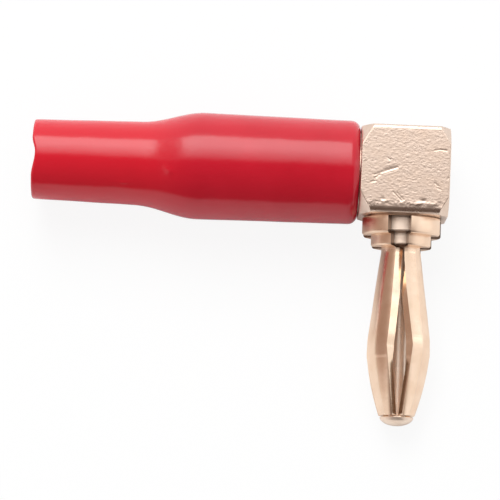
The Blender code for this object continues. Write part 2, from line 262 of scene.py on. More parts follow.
def boot_radius(z, angle):
    """Outer radius of the sleeve. Its shoulder leans a little, as soft PVC pulled over a shank does."""
    start = BOOT_SHOULDER_START - BOOT_SHOULDER_LEAN * math.sin(angle)
    if z < start:
        share = z / start
        base = BOOT_END_RADIUS + (BOOT_SHOULDER_RADIUS - BOOT_END_RADIUS) * share
    else:
        share = (z - start) / BOOT_SHOULDER_LENGTH
        base = BOOT_SHOULDER_RADIUS - (BOOT_SHOULDER_RADIUS - BOOT_NECK_RADIUS) * smooth_step(share)
        neck_end = start + BOOT_SHOULDER_LENGTH
        if z > neck_end:
            share = (z - neck_end) / (BOOT_LENGTH - neck_end)
            base -= (BOOT_NECK_RADIUS - BOOT_RIM_RADIUS) * share
    wave_x = math.cos(angle) * BOOT_WAVES_ROUND
    wave_y = math.sin(angle) * BOOT_WAVES_ROUND
    base += BOOT_WAVE_DEPTH * noise.noise(Vector((wave_x, wave_y, z * BOOT_WAVES_ALONG)))
    for mark_z, mark_angle, half_length, half_width, height in BOOT_MARKS:
        across = (angle - mark_angle + math.pi) % math.tau - math.pi
        reach = ((z - mark_z) / half_length) ** 2 + (across * base / half_width) ** 2
        if reach < MARK_REACH:
            base += height * math.exp(-reach)
    return base


def notch_depth(angle):
    """How far the rim is cut back: one notch above, one below, each steeper on one side."""
    offset = (angle - BOOT_NOTCH_TURN + math.pi / 2) % math.pi - math.pi / 2
    half_width = NOTCH_STEEP_HALF_WIDTH if offset > 0 else NOTCH_GENTLE_HALF_WIDTH
    if abs(offset) >= half_width:
        return 0.0
    return BOOT_RIM_NOTCH * smooth_step(1 - abs(offset) / half_width)


def make_boot(matrix, material):
    """The sleeve, ring by ring. A ring with no radius of its own is on the worn outside."""
    angles = [math.tau * i / BOOT_COLUMNS for i in range(BOOT_COLUMNS)]
    body_start = SEAT_GAP + BOOT_END_ROUND
    body_end = BOOT_LENGTH - BOOT_RIM_ROUND
    neck_start = BOOT_SHOULDER_START + BOOT_SHOULDER_LENGTH
    end_center = (body_start, BOOT_END_RADIUS - BOOT_END_ROUND)
    outer_rim = (body_end, BOOT_RIM_RADIUS - BOOT_RIM_ROUND)
    inner_rim = (body_end, BOOT_NECK_BORE_RADIUS + BOOT_RIM_ROUND)
    rings = arc(end_center, BOOT_END_ROUND, math.pi, math.pi / 2, BOOT_END_STEPS)
    rings += [(z, None) for z in spread(body_start, body_end, BOOT_ROWS)[1:]]
    rings += arc(outer_rim, BOOT_RIM_ROUND, math.pi / 2, 0, BOOT_RIM_STEPS)[1:]
    rings += arc(inner_rim, BOOT_RIM_ROUND, 0, -math.pi / 2, BOOT_RIM_STEPS)
    for z in spread(neck_start, BOOT_SHOULDER_START, BOOT_BORE_ROWS):
        share = smooth_step((z - BOOT_SHOULDER_START) / BOOT_SHOULDER_LENGTH)
        rings.append((z, BOOT_BORE_RADIUS - (BOOT_BORE_RADIUS - BOOT_NECK_BORE_RADIUS) * share))
    rings.append((SEAT_GAP, BOOT_BORE_RADIUS))
    vertices = []
    for z, fixed in rings:
        share = max(0.0, (z - neck_start) / (BOOT_LENGTH - neck_start))
        for angle in angles:
            radius = boot_radius(z, angle) if fixed is None else fixed
            depth = z - notch_depth(angle) * share**NOTCH_FADE_POWER
            vertices.append((radius * math.cos(angle), radius * math.sin(angle), depth))
    faces = grid_faces(len(rings), BOOT_COLUMNS, closed_rows=True)
    return piece("sleeve", vertices, faces, matrix, "boot", "boot", "red_sleeve", material)


# Elbow block. Its long edges are rounded by tumbling: top back, bottom back, bottom front, top front
EDGE_ROUNDS = (0.00036, 0.0004, 0.0004, 0.0006)
SIDE_CELLS = (150, 60, 60, 60)
EDGE_CELLS = 10
EDGE_BREAK = 0.00007
MILLIMETRE = 0.001
UPPER_SIDE = 0
FRONT_SIDE = 3

# Cells along each run of the bar's profile, and along a run that isn't listed
FINE_RUNS = {0: 12, 1: 6, 2: 150, 3: 6, 4: 6, 5: 10}
PLAIN_RUN = 4

# The corners of the profile that are worn round, and how far that reaches
WORN_CORNERS = (1, 2, 3, 4)
CORNER_REACH = 0.00007
CORNER_MOST_SHARE = 0.3
CORNER_STEPS = 4

# Radii of the small faces that close the bar's ends
BAR_CAP_RADIUS = 0.0002
CUP_CAP_RADIUS = 0.0001

# Wear fades out over this length at the chamfers, and is only put on points of the outside
WEAR_FADE = 0.00018
ON_SURFACE = 1e-7

# Gouges on the upper face, in mm. Each has its two ends, measured along the sleeve and across it,
# then its upper width, lower width and depth
GOUGES = (
    ((-2.75, -0.68), (-1.80, -0.30), 0.12, 0.06, 0.011),
    ((-1.80, -0.30), (-0.85, 0.02), 0.17, 0.06, 0.019),
    ((2.52, 1.73), (3.00, 1.82), 0.07, 0.07, 0.011),
    ((3.00, 1.82), (3.60, 1.77), 0.08, 0.07, 0.016),
    ((-1.05, -2.13), (-0.25, -2.90), 0.06, 0.06, 0.014),
    ((-0.70, -2.17), (-0.12, -2.80), 0.06, 0.06, 0.012),
    ((-2.30, -0.62), (-2.72, -0.95), 0.08, 0.08, 0.012),
    ((-2.72, -0.95), (-2.66, -1.22), 0.08, 0.08, 0.012),
    ((-2.66, -1.22), (-3.05, -1.32), 0.08, 0.08, 0.010),
    ((-1.75, 0.95), (-1.40, 0.72), 0.07, 0.07, 0.006),
    ((2.65, -1.20), (2.95, -1.45), 0.08, 0.08, 0.012),
    ((2.85, -1.60), (3.20, -1.75), 0.07, 0.07, 0.010),
    ((3.84, -0.72), (4.00, -0.54), 0.08, 0.08, 0.024),
)

# A gouge is left out past this many of its widths
GOUGE_REACH = 3

# Dents near the lower edge of the upper face, in mm: centre, half length, half width and depth
DENTS = (
    (1.70, -2.82, 0.24, 0.14, 0.026),
    (1.35, -3.10, 0.26, 0.16, -0.014),
    (-1.95, -2.80, 0.20, 0.18, 0.017),
    (-1.68, -3.02, 0.14, 0.22, -0.014),
    (0.62, -3.10, 0.18, 0.12, -0.010),
    (2.25, -3.00, 0.16, 0.18, -0.011),
)

# The ragged strip along the front edge, in mm, and the lumps that make it ragged
RAGGED_DEPTH = 0.026
RAGGED_MIDDLE = -3.14
RAGGED_HALF_WIDTH = 0.24
LUMP_SCALE = (2.1, 2.6)
LUMP_SEED = 3.7
SMALL_LUMP_SCALE = (4.9, 5.3)
SMALL_LUMP_SEED = 8.1
SMALL_LUMP_SHARE = 0.5

# The face rolls over a little before that edge, in mm, along a line that wanders with the lumps
ROLLED_DEPTH = 0.016
ROLLED_START = -3.05
ROLLED_RUN = 0.42
ROLLED_END = -3.50
ROLLED_RETURN = 0.80
ROLLED_WANDER = 0.16

# Wrinkles left by tumbling, in mm. Their depth on the upper face falls off from a worn middle
WRINKLE_DEPTH = 0.0052
BEND_SCALE = (1.3, 1.3)
BEND_SEED = 5.0
BEND_SIZE = 0.5
COARSE_SCALE = (3.2, 5.2)
COARSE_SHARE = 0.8
FINE_SCALE = (6.0, 8.6)
FINE_SEED = 9.0
FINE_SHARE = 0.5
CREASE_SCALE = (3.4, 5.6)
CREASE_SEED = 17.0
CREASE_SHARE = 1.3
UPPER_SEED = 0.0
OTHER_SIDES_SEED = 20.0
WORN_LEAST = 0.62
WORN_MIDDLE = (-0.8, -0.6)
WORN_REACH = (2.8, 2.2)


def gouge_depth(along, across):
    """Depth of the gouges at a point, all in mm. Each gouge has a gentle and a steep wall."""
    total = 0.0
    point = Vector((along, across))
    for start, end, upper, lower, depth in GOUGES:
        start = Vector(start)
        run = Vector(end) - start
        share = min(max((point - start).dot(run) / run.length_squared, 0.0), 1.0)
        away = point - (start + run * share)
        if away.length > GOUGE_REACH * max(upper, lower):
            continue
        width = upper if away.y > 0 else lower
        total = max(total, depth * math.exp(-((away.length / width) ** 2)))
    return total


def noise_at(along, across, scale, seed):
    return noise.noise(Vector((along * scale[0], across * scale[1], seed)))


def face_depth(along, across):
    """How deep the worn upper face lies under its plane, all in mm."""
    deep = gouge_depth(along, across)
    for x, y, half_length, half_width, depth in DENTS:
        reach = ((along - x) / half_length) ** 2 + ((across - y) / half_width) ** 2
        if reach < MARK_REACH:
            deep += depth * math.exp(-reach)
    ragged = math.exp(-(((across - RAGGED_MIDDLE) / RAGGED_HALF_WIDTH) ** 2))
    lumps = noise_at(along, across, LUMP_SCALE, LUMP_SEED)
    lumps += SMALL_LUMP_SHARE * noise_at(along, across, SMALL_LUMP_SCALE, SMALL_LUMP_SEED)
    deep += RAGGED_DEPTH * ragged * lumps
    low = across + ROLLED_WANDER * lumps
    rolled = smooth_step((ROLLED_START - low) / ROLLED_RUN)
    deep += ROLLED_DEPTH * rolled * (1 - smooth_step((ROLLED_END - across) / ROLLED_RETURN))
    beside = ((along - WORN_MIDDLE[0]) / WORN_REACH[0]) ** 2
    above = ((across - WORN_MIDDLE[1]) / WORN_REACH[1]) ** 2
    worn = WORN_LEAST + (1 - WORN_LEAST) * math.exp(-beside - above)
    return deep + wrinkle(along, across, UPPER_SEED) * worn


def wrinkle(along, across, seed):
    """Depth of the wrinkles in mm. They are longer along the sleeve than across it."""
    bend = BEND_SIZE * noise_at(along, across, BEND_SCALE, seed + BEND_SEED)
    coarse = noise_at(along, across + bend, COARSE_SCALE, seed)
    fine = noise_at(along, across + bend, FINE_SCALE, seed + FINE_SEED)
    crease = abs(noise_at(along, across - bend, CREASE_SCALE, seed + CREASE_SEED))
    return WRINKLE_DEPTH * (COARSE_SHARE * coarse + FINE_SHARE * fine - CREASE_SHARE * crease)


def bar_outline():
    """Points round the square bar: side, distance along that side, place and way out."""
    points = []
    for side in range(len(EDGE_ROUNDS)):
        before = BAR_HALF - EDGE_ROUNDS[side - 1]
        rounding = EDGE_ROUNDS[side]
        after = BAR_HALF - rounding
        turn = Matrix.Rotation(side * math.pi / 2, 2)
        local = []
        for y in spread(-before, after, SIDE_CELLS[side]):
            local.append((y, Vector((BAR_HALF, y)), Vector((1, 0))))
        for a in spread(0, math.pi / 2, EDGE_CELLS + 1)[1:-1]:
            out = Vector((math.cos(a), math.sin(a)))
            local.append((after + rounding * a, Vector((after, after)) + out * rounding, out))
        for across, place, out in local:
            points.append((side, across, turn @ place, turn @ out))
    return points


def upper_across(side, across):
    """The same distance measured on the upper face, for the face itself and its front edge."""
    if side == UPPER_SIDE:
        return across
    rounding = EDGE_ROUNDS[FRONT_SIDE]
    flat = BAR_HALF - rounding
    if side == FRONT_SIDE and across > flat:
        return across - 2 * flat - rounding * math.pi / 2
    return None


def wear(side, across, z, radius):
    """Depth of wear at a point on the bar's outside, fading out at the turned chamfers."""
    low = -BAR_HALF + max(radius - OUTER_CHAMFER_RADIUS, EDGE_BREAK)
    high = BAR_HALF - max(radius - INNER_CHAMFER_RADIUS, EDGE_BREAK)
    inside = smooth_step(min(z - low, high - z) / WEAR_FADE)
    if inside <= 0:
        return 0.0
    on_face = upper_across(side, across)
    if on_face is None:
        deep = wrinkle(-z / MILLIMETRE, across / MILLIMETRE, OTHER_SIDES_SEED + side)
    else:
        deep = face_depth(-z / MILLIMETRE, on_face / MILLIMETRE)
    return deep * MILLIMETRE * inside


def bar_profile(radius):
    """Profile (z, radius) of the bar at one angle: end face, chamfer, flat, chamfer, shank, cup."""
    outer_cut = max(radius - OUTER_CHAMFER_RADIUS, EDGE_BREAK)
    inner_cut = max(radius - INNER_CHAMFER_RADIUS, EDGE_BREAK)
    mouth = BAR_HALF + SHANK_LENGTH
    corners = [
        (-BAR_HALF, BAR_CAP_RADIUS),
        (-BAR_HALF, radius - outer_cut),
        (-BAR_HALF + outer_cut, radius),
        (BAR_HALF - inner_cut, radius),
        (BAR_HALF, radius - inner_cut),
        (BAR_HALF, SHANK_RADIUS),
        (mouth - SHANK_END_CHAMFER, SHANK_RADIUS),
        (mouth, SHANK_RADIUS - SHANK_END_CHAMFER),
        (mouth, SOLDER_CUP_RADIUS),
        (mouth - SOLDER_CUP_DEPTH, SOLDER_CUP_RADIUS),
        (mouth - SOLDER_CUP_DEPTH - DRILL_POINT_DEPTH, CUP_CAP_RADIUS),
    ]
    corners = [Vector(corner) for corner in corners]
    profile = []
    for i in range(len(corners) - 1):
        start = corners[i]
        end = corners[i + 1]
        if i in WORN_CORNERS:
            start = worn_corner(profile, corners[i - 1], start, end)
        if i + 1 in WORN_CORNERS:
            end = end + (start - end).normalized() * corner_reach(start, end)
        steps = FINE_RUNS.get(i, PLAIN_RUN)
        profile += [start.lerp(end, t) for t in spread(0, 1, steps + 1)[:-1]]
    profile.append(corners[-1])
    return profile


def corner_reach(start, end):
    return min(CORNER_REACH, CORNER_MOST_SHARE * (end - start).length)


def worn_corner(profile, before, corner, after):
    """Adds the curve that rounds a corner to the profile, and returns the point where it ends."""
    first = corner + (before - corner).normalized() * corner_reach(before, corner)
    last = corner + (after - corner).normalized() * corner_reach(corner, after)
    for t in spread(0, 1, CORNER_STEPS + 1)[:-1]:
        profile.append(first * (1 - t) ** 2 + corner * 2 * t * (1 - t) + last * t * t)
    return last


def make_block(matrix, material):
    """The bar with its shank and solder cup. Wear is only put on the flats and edges of the bar."""
    outline = bar_outline()
    columns = [bar_profile(place.length) for _, _, place, _ in outline]
    rows = len(columns[0])
    vertices = []
    for row in range(rows):
        for (side, across, place, out), profile in zip(outline, columns):
            z, radius = profile[row]
            point = place.normalized() * radius
            if abs(radius - place.length) < ON_SURFACE:
                point = point - out * wear(side, across, z, radius)
            vertices.append((point.x, point.y, z))
    faces = grid_faces(rows, len(outline)) + end_faces(rows, len(outline))
    return piece("block", vertices, faces, matrix, "plug", "elbow_block", "gold_block", material)


# Spring contact. The belly is blended over this length to each side of its widest place
BELLY_BLEND = 0.0010
LEAF_CELLS = 30
SLOT_CELLS = 4
ROOT_ROWS = 6
CONE_ROWS = 61
OGIVE_ROWS = 51
COLLAR_ROUND_STEPS = 8
COLLAR_TOP_ROUND = 0.0001
COLLAR_TOP_STEPS = 3
FLANK_CHANGE_SHARE = 0.3


def station(outer, inner):
    """One ring of the tail and collars, where the slots are plain wedges."""
    wedge = (COLLAR_SLOT_HALF_ANGLE, COLLAR_SLOT_TURN)
    return outer, inner, wedge, wedge


def collar_stations():
    """The tail and the two collars, whose slots are plain wedges."""
    rounding = arc(
        (LARGE_COLLAR_END - LARGE_COLLAR_ROUND, LARGE_COLLAR_RADIUS - LARGE_COLLAR_ROUND),
        LARGE_COLLAR_ROUND,
        math.pi / 2,
        0,
        COLLAR_ROUND_STEPS,
    )
    small_rounding = arc(
        (COLLARS_END - SMALL_COLLAR_ROUND, SMALL_COLLAR_RADIUS - SMALL_COLLAR_ROUND),
        SMALL_COLLAR_ROUND,
        math.pi / 2,
        0,
        COLLAR_ROUND_STEPS,
    )
    first_step = LARGE_COLLAR_END - COLLAR_STEP_LEAD
    second_step = COLLARS_END - COLLAR_STEP_LEAD / 2
    made = [
        station((-TAIL_DEPTH, TAIL_RADIUS), (-TAIL_DEPTH, LARGE_BORE_RADIUS)),
        station((COLLAR_GAP, TAIL_RADIUS), (COLLAR_GAP, LARGE_BORE_RADIUS)),
    ]
    top = (COLLAR_GAP + COLLAR_TOP_ROUND, LARGE_COLLAR_RADIUS - COLLAR_TOP_ROUND)
    outer = arc(top, COLLAR_TOP_ROUND, math.pi, math.pi / 2, COLLAR_TOP_STEPS)
    outer += rounding
    for i, point in enumerate(outer):
        share = (i + 1) / len(outer)
        depth = COLLAR_GAP + (first_step - COLLAR_GAP) * share
        made.append(station(point, (depth, LARGE_BORE_RADIUS)))
    made.append(station((LARGE_COLLAR_END, SMALL_COLLAR_RADIUS), (first_step, SMALL_BORE_RADIUS)))
    for i, point in enumerate(small_rounding):
        share = (i + 1) / len(small_rounding)
        depth = first_step + (second_step - first_step) * share
        made.append(station(point, (depth, SMALL_BORE_RADIUS)))
    made.append(station((COLLARS_END, ROOT_RADIUS), (second_step, ROOT_RADIUS - LEAF_WALL)))
    return made


def leaf_radius(z):
    """Outside of the leaves: a short straight root, a cone out to the belly, a curve back in."""
    if z <= CONE_START:
        return ROOT_RADIUS
    rise = (BELLY_RADIUS - ROOT_RADIUS) / CONE_LENGTH
    if abs(z - BELLY) < BELLY_BLEND:
        into = z - BELLY + BELLY_BLEND
        turn = (rise + OGIVE_START_SLOPE) / (4 * BELLY_BLEND)
        return BELLY_RADIUS + rise * (z - BELLY) - turn * into * into
    if z <= BELLY:
        return ROOT_RADIUS + rise * (z - CONE_START)
    s = z - BELLY
    total_fall = BELLY_RADIUS - LEAF_END_RADIUS
    bend = (total_fall - OGIVE_START_SLOPE * OGIVE_LENGTH) / OGIVE_LENGTH**2
    return BELLY_RADIUS - OGIVE_START_SLOPE * s - bend * s * s


def slot_half_width(z):
    """Half the gap between two leaves at their outer edges, widest at the belly."""
    if z <= BELLY:
        share = (max(0.0, z - CONE_START) / CONE_LENGTH) ** SLOT_GROWTH
        return ROOT_SLOT_HALF_WIDTH + (BELLY_SLOT_HALF_WIDTH - ROOT_SLOT_HALF_WIDTH) * share
    share = (z - BELLY) / OGIVE_LENGTH
    return BELLY_SLOT_HALF_WIDTH + (END_SLOT_HALF_WIDTH - BELLY_SLOT_HALF_WIDTH) * share


def flank_angle(z):
    """Slope of the leaves' flanks, which the closing in past the belly makes steeper."""
    if z <= BELLY:
        share = max(0.0, z - CONE_START) / CONE_LENGTH
        return ROOT_FLANK_ANGLE + (FLANK_ANGLE - ROOT_FLANK_ANGLE) * share
    share = smooth_step((z - BELLY) / (FLANK_CHANGE_SHARE * OGIVE_LENGTH))
    return FLANK_ANGLE + (END_FLANK_ANGLE - FLANK_ANGLE) * share


def slot_turn(z):
    """How far the slots are turned: fully in the collars, and not at all from the belly on."""
    return COLLAR_SLOT_TURN * (1 - smooth_step((z - COLLARS_END) / (BELLY - COLLARS_END)))


def leaf_stations():
    """Each leaf is wider inside than outside, because its flanks slope in under the slot."""
    depths = spread(COLLARS_END, CONE_START, ROOT_ROWS)[1:]
    depths += spread(CONE_START, BELLY, CONE_ROWS)[1:]
    depths += spread(BELLY, LEAF_END, OGIVE_ROWS)[1:]
    made = []
    for z in depths:
        outside = leaf_radius(z)
        inside = outside - LEAF_WALL
        gap = slot_half_width(z)
        inner_gap = max(gap - LEAF_WALL * math.tan(flank_angle(z)), INNER_SLOT_LEAST_HALF_WIDTH)
        outer_half_angle = math.asin(gap / outside)
        inner_half_angle = math.asin(inner_gap / inside)
        fade = math.exp(-(z - COLLARS_END) / ROOT_LEAN_FADE)
        outer_slot = (outer_half_angle, slot_turn(z))
        inner_slot = (inner_half_angle, slot_turn(z) - ROOT_LEAN * fade / inside)
        made.append(((z, outside), (z, inside), outer_slot, inner_slot))
    return made


def column_angles(half_angle, turn):
    """Angles round the contact: for each slot its cells, then the cells of the leaf after it."""
    pitch = math.tau / LEAF_COUNT
    angles = []
    for leaf in range(LEAF_COUNT):
        center = math.pi / 2 + leaf * pitch + turn
        leaf_arc = pitch - 2 * half_angle
        slot_start = center - half_angle
        leaf_start = center + half_angle
        angles += [slot_start + 2 * half_angle * i / SLOT_CELLS for i in range(SLOT_CELLS)]
        angles += [leaf_start + leaf_arc * i / LEAF_CELLS for i in range(LEAF_CELLS)]
    return angles


def make_contact(matrix, material, slot_material):
    """A grid of cells round and along the contact. The cells left out below the tail are the slots."""
    stations = collar_stations() + leaf_stations()
    columns = LEAF_COUNT * (SLOT_CELLS + LEAF_CELLS)
    vertices = []
    for layer in (0, 1):
        for row in stations:
            z, radius = row[layer]
            for a in column_angles(*row[2 + layer]):
                vertices.append((radius * math.cos(a), radius * math.sin(a), z))
    layer_size = len(stations) * columns
    faces = []
    inner_faces = []

    def index(layer, row, column):
        return layer * layer_size + row * columns + column

    def filled(row, column):
        if row < 0 or row >= len(stations) - 1:
            return False
        return row == 0 or column % (SLOT_CELLS + LEAF_CELLS) >= SLOT_CELLS

    def wall(a, b, row_a, row_b):
        inner_faces.append(len(faces))
        outer_edge = (index(0, row_a, a), index(0, row_b, b))
        inner_edge = (index(1, row_b, b), index(1, row_a, a))
        faces.append(outer_edge + inner_edge)

    for row in range(len(stations) - 1):
        for column in range(columns):
            if not filled(row, column):
                continue
            after = (column + 1) % columns
            for layer in (0, 1):
                if layer:
                    inner_faces.append(len(faces))
                faces.append(
                    (
                        index(layer, row, column),
                        index(layer, row, after),
                        index(layer, row + 1, after),
                        index(layer, row + 1, column),
                    )
                )
            if not filled(row, after):
                wall(after, after, row, row + 1)
            if not filled(row, (column - 1) % columns):
                wall(column, column, row, row + 1)
            if not filled(row - 1, column):
                wall(column, after, row, row)
            if not filled(row + 1, column):
                wall(column, after, row + 1, row + 1)
    used = sorted({i for face in faces for i in face})
    renumbered = {old: new for new, old in enumerate(used)}
    vertices = [vertices[i] for i in used]
    faces = [tuple(renumbered[i] for i in face) for face in faces]
    stands_for = ("plug", "spring_sleeve", "gold_contact")
    return piece("contact", vertices, faces, matrix, *stands_for, material, slot_material, inner_faces)


# Core pin
CORE_COLUMNS = 120
STEM_ROWS = 24
NOSE_ROWS = 20
NOSE_BREAK = 0.00006
CORE_CAP_RADIUS = 0.0001


def core_outline():
    """Profile (z, radius) of the core: tail, two steps in the collars, stem and domed nose."""
    large = LARGE_BORE_RADIUS - PRESS_CLEARANCE
    small = SMALL_BORE_RADIUS - PRESS_CLEARANCE
    first_step = LARGE_COLLAR_END - COLLAR_STEP_LEAD - SEAT_GAP
    second_step = COLLARS_END - COLLAR_STEP_LEAD / 2 - SEAT_GAP
    spigot_end = -TAIL_DEPTH - SPIGOT_LENGTH
    nose = LEAF_END + NOSE_GAP
    outline = [
        (spigot_end, CORE_CAP_RADIUS),
        (spigot_end, SPIGOT_RADIUS),
        (-TAIL_DEPTH, SPIGOT_RADIUS),
        (-TAIL_DEPTH, large),
        (first_step - STEP_CHAMFER, large),
        (first_step, large - STEP_CHAMFER),
        (first_step, small),
        (second_step - STEP_CHAMFER, small),
        (second_step, small - STEP_CHAMFER),
        (second_step, STEM_RADIUS),
    ]
    outline += [(z, STEM_RADIUS) for z in spread(second_step, nose, STEM_ROWS)[1:]]
    outline.append((nose, NOSE_RADIUS - NOSE_BREAK))
    for turn in spread(0, math.pi / 2, NOSE_ROWS)[1:-1]:
        outline.append((nose + NOSE_HEIGHT * math.sin(turn), NOSE_RADIUS * math.cos(turn)))
    outline.append((nose + NOSE_HEIGHT, CORE_CAP_RADIUS))
    return outline


def make_core(matrix, material):
    outline = core_outline()
    vertices = []
    for z, radius in outline:
        for i in range(CORE_COLUMNS):
            angle = math.tau * i / CORE_COLUMNS
            vertices.append((radius * math.cos(angle), radius * math.sin(angle), z))
    faces = grid_faces(len(outline), CORE_COLUMNS) + end_faces(len(outline), CORE_COLUMNS)
    return piece("core", vertices, faces, matrix, "plug", "core_pin", "gold_core", material)


# Materials. Noise mostly lies between these two values
NOISE_LOW = 0.3
NOISE_HIGH = 0.7

# Colours, in linear light. Each plate and the sleeve wander between two
RED_DEEP = (0.50, 0.006, 0.019, 1)
RED_CLEAR = (0.545, 0.008, 0.023, 1)
# Painted light: a lighter red for the neck, which lies in brighter light
RED_NECK_PAINTED_LIGHT = (0.61, 0.009, 0.022, 1)
RED_SHEEN = (1.0, 0.25, 0.42, 1)
TUMBLED_DARK = (0.735, 0.57, 0.46, 1)
TUMBLED_LIGHT = (0.825, 0.66, 0.55, 1)
BRIGHT_DARK = (0.88, 0.64, 0.47, 1)
BRIGHT_LIGHT = (0.95, 0.73, 0.56, 1)
SLOT_DARK = (0.90, 0.66, 0.48, 1)
SLOT_LIGHT = (0.97, 0.76, 0.58, 1)
# Painted shade for the slot walls in the collars, standing in for the dark that those walls reflect
SLOT_PAINTED_SHADE = (0.22, 0.15, 0.11, 1)
CORE_DARK = (0.88, 0.68, 0.54, 1)
CORE_LIGHT = (0.97, 0.80, 0.66, 1)


class Tree:
    """A node tree with short calls for its nodes."""

    def __init__(self, tree):
        self.tree = tree

    def add(self, kind, **settings):
        node = self.tree.nodes.new(kind)
        for key, value in settings.items():
            setattr(node, key, value)
        return node

    def link(self, source, target):
        self.tree.links.new(source, target)

    def give(self, socket, value):
        """Links an output to the socket, or sets a plain value on it."""
        if hasattr(value, "is_linked"):
            self.link(value, socket)
        else:
            socket.default_value = value

    def position(self, scale=(1, 1, 1)):
        """The piece's local coordinates in metres, multiplied by scale."""
        texture = self.add("ShaderNodeAttribute", attribute_name=LOCAL_PLACE)
        mapping = self.add("ShaderNodeMapping")
        mapping.inputs["Scale"].default_value = scale
        self.link(texture.outputs["Vector"], mapping.inputs["Vector"])
        return mapping.outputs["Vector"]

    def noise(self, vector, scale, detail=3.0, roughness=0.5, distortion=0.0):
        node = self.add("ShaderNodeTexNoise")
        node.inputs["Scale"].default_value = scale
        node.inputs["Detail"].default_value = detail
        node.inputs["Roughness"].default_value = roughness
        node.inputs["Distortion"].default_value = distortion
        self.link(vector, node.inputs["Vector"])
        return node.outputs["Fac"]

    def clouded(self, cloud, dark, light):
        """A colour that wanders between two as the noise does."""
        fit = self.between(cloud, NOISE_LOW, NOISE_HIGH, 0.0, 1.0)
        node = self.add("ShaderNodeValToRGB")
        node.color_ramp.elements[0].color = dark
        node.color_ramp.elements[1].color = light
        self.link(fit, node.inputs["Fac"])
        return node.outputs["Color"]

    def mix(self, share, first, second):
        """The first colour where the share is 0, and the second where it is 1."""
        node = self.add("ShaderNodeMix", data_type="RGBA")
        self.link(share, node.inputs["Factor"])
        self.give(node.inputs["A"], first)
        self.give(node.inputs["B"], second)
        return node.outputs["Result"]

    def rise(self, place, low, high):
        """Rises softly from 0 at low to 1 at high, along the third axis."""
        split = self.add("ShaderNodeSeparateXYZ")
        self.link(place, split.inputs["Vector"])
        return self.smooth(split.outputs["Z"], low, high)

    def between(self, value, low, high, to_low, to_high):
        node = self.add("ShaderNodeMapRange")
        node.inputs["From Min"].default_value = low
        node.inputs["From Max"].default_value = high
        node.inputs["To Min"].default_value = to_low
        node.inputs["To Max"].default_value = to_high
        self.link(value, node.inputs["Value"])
        return node.outputs["Result"]

    def math(self, operation, a, b):
        node = self.add("ShaderNodeMath", operation=operation)
        for socket, value in zip(node.inputs, (a, b)):
            self.give(socket, value)
        return node.outputs["Value"]

    def in_gloss(self, path):
        """1 where a reflection or a transmission is being looked up, and 0 elsewhere."""
        return self.math("MAXIMUM", path.outputs["Is Glossy Ray"], path.outputs["Is Transmission Ray"])

    def smooth(self, value, low, high):
        """Rises softly from 0 at low to 1 at high."""
        node = self.add("ShaderNodeMapRange", interpolation_type="SMOOTHSTEP")
        node.inputs["From Min"].default_value = low
        node.inputs["From Max"].default_value = high
        self.link(value, node.inputs["Value"])
        return node.outputs["Result"]


class Nodes(Tree):
    """A material and its node tree."""

    def __init__(self, name):
        self.material = bpy.data.materials.new(name)
        self.material.use_nodes = True
        super().__init__(self.material.node_tree)
        self.shader = self.tree.nodes["Principled BSDF"]

    def bump(self, height, strength, distance, normal=None):
        node = self.add("ShaderNodeBump")
        node.inputs["Strength"].default_value = strength
        node.inputs["Distance"].default_value = distance
        self.link(height, node.inputs["Height"])
        if normal:
            self.link(normal, node.inputs["Normal"])
        return node.outputs["Normal"]

    def set(self, name, value):
        self.give(self.shader.inputs[name], value)


def red_pvc():
    """Glossy PVC. Its red is painted lighter on the neck, standing in for the brighter light there."""
    made = Nodes("red_pvc")
    place = made.position()
    tint = made.clouded(made.noise(place, scale=260, detail=2.0), RED_DEEP, RED_CLEAR)
    shoulder_end = BOOT_SHOULDER_START + BOOT_SHOULDER_LENGTH
    # Painted light: the red turns lighter along the shoulder and stays lighter on the neck
    painted_light_neck = made.rise(place, BOOT_SHOULDER_START, shoulder_end)
    made.set("Base Color", made.mix(painted_light_neck, tint, RED_NECK_PAINTED_LIGHT))
    made.set("Specular IOR Level", 0.5)
    made.set("Sheen Weight", 0.12)
    made.set("Sheen Roughness", 0.4)
    made.set("Sheen Tint", RED_SHEEN)
    fine = made.noise(place, scale=5200, detail=3.0)
    made.set("Roughness", made.between(fine, NOISE_LOW, NOISE_HIGH, to_low=0.13, to_high=0.22))
    broad = made.noise(place, scale=900, detail=2.0)
    waves = made.bump(broad, strength=0.25, distance=0.00006)
    made.set("Normal", made.bump(fine, strength=0.12, distance=0.00001, normal=waves))
    return made.material


def tumbled_gold():
    """Satin gold plate, with fine marks that are drawn out along the bar."""
    made = Nodes("tumbled_gold")
    cloud = made.noise(made.position(), scale=900, detail=4.0, roughness=0.6)
    made.set("Base Color", made.clouded(cloud, TUMBLED_DARK, TUMBLED_LIGHT))
    made.set("Metallic", 1.0)
    made.set("Roughness", made.between(cloud, NOISE_LOW, NOISE_HIGH, to_low=0.34, to_high=0.26))
    long = made.position(scale=(1.0, 1.0, 0.5))
    longer = made.position(scale=(1.0, 1.0, 0.35))
    wrinkles = made.noise(long, scale=5200, detail=4.0, roughness=0.6, distortion=0.5)
    pits = made.noise(longer, scale=15000, detail=3.0, roughness=0.6)
    rough = made.bump(wrinkles, strength=0.45, distance=0.00002)
    made.set("Normal", made.bump(pits, strength=0.30, distance=0.000006, normal=rough))
    return made.material


# The turning rings make the plate smoother and rougher by these factors
RING_SMOOTHEST = 0.8
RING_ROUGHEST = 1.25


